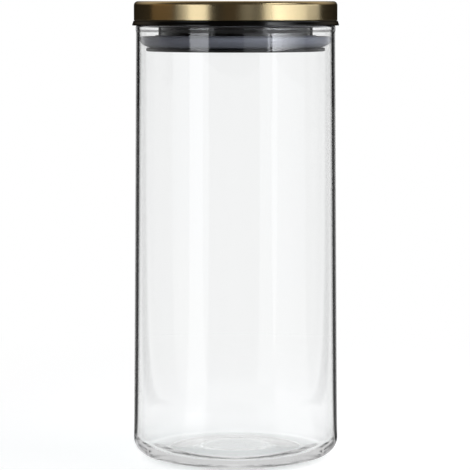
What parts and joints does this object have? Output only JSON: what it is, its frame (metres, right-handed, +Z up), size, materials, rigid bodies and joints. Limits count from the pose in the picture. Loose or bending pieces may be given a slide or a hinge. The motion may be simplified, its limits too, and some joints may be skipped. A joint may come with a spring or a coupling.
{
  "type": "lidded glass canister",
  "caption": "Tall round glass storage canister with a lift-off lid: brass-toned metal cap, black moulded insert and a soft grey seal ring that drops into the mouth.",
  "frame": {"origin": "centre of the jar's foot, on the surface that it stands on", "axes": "+Z up along the canister's axis of revolution; X and Y in the standing plane, where the glass and the cap are the same all round"},
  "size_m": [0.1012, 0.1012, 0.2254],
  "materials": {
    "clear_glass": "clear, fire-polished",
    "brass_cap": "fine brushed, brass-toned",
    "black_insert": "satin moulded",
    "grey_silicone": "matte moulded silicone",
    "black_plate": "satin moulded"
  },
  "bodies": {
    "jar": {"glass_jar": "clear_glass"},
    "lid": {"cap_shell": "brass_cap", "lid_body": "black_insert", "seal_ring": "grey_silicone", "base_plate": "black_plate"}
  },
  "joints": [
    {"name": "lid_lift", "type": "slide", "parent": "jar", "child": "lid", "axis": [0, 0, 1], "range_m": [0, 0.12]}
  ]
}
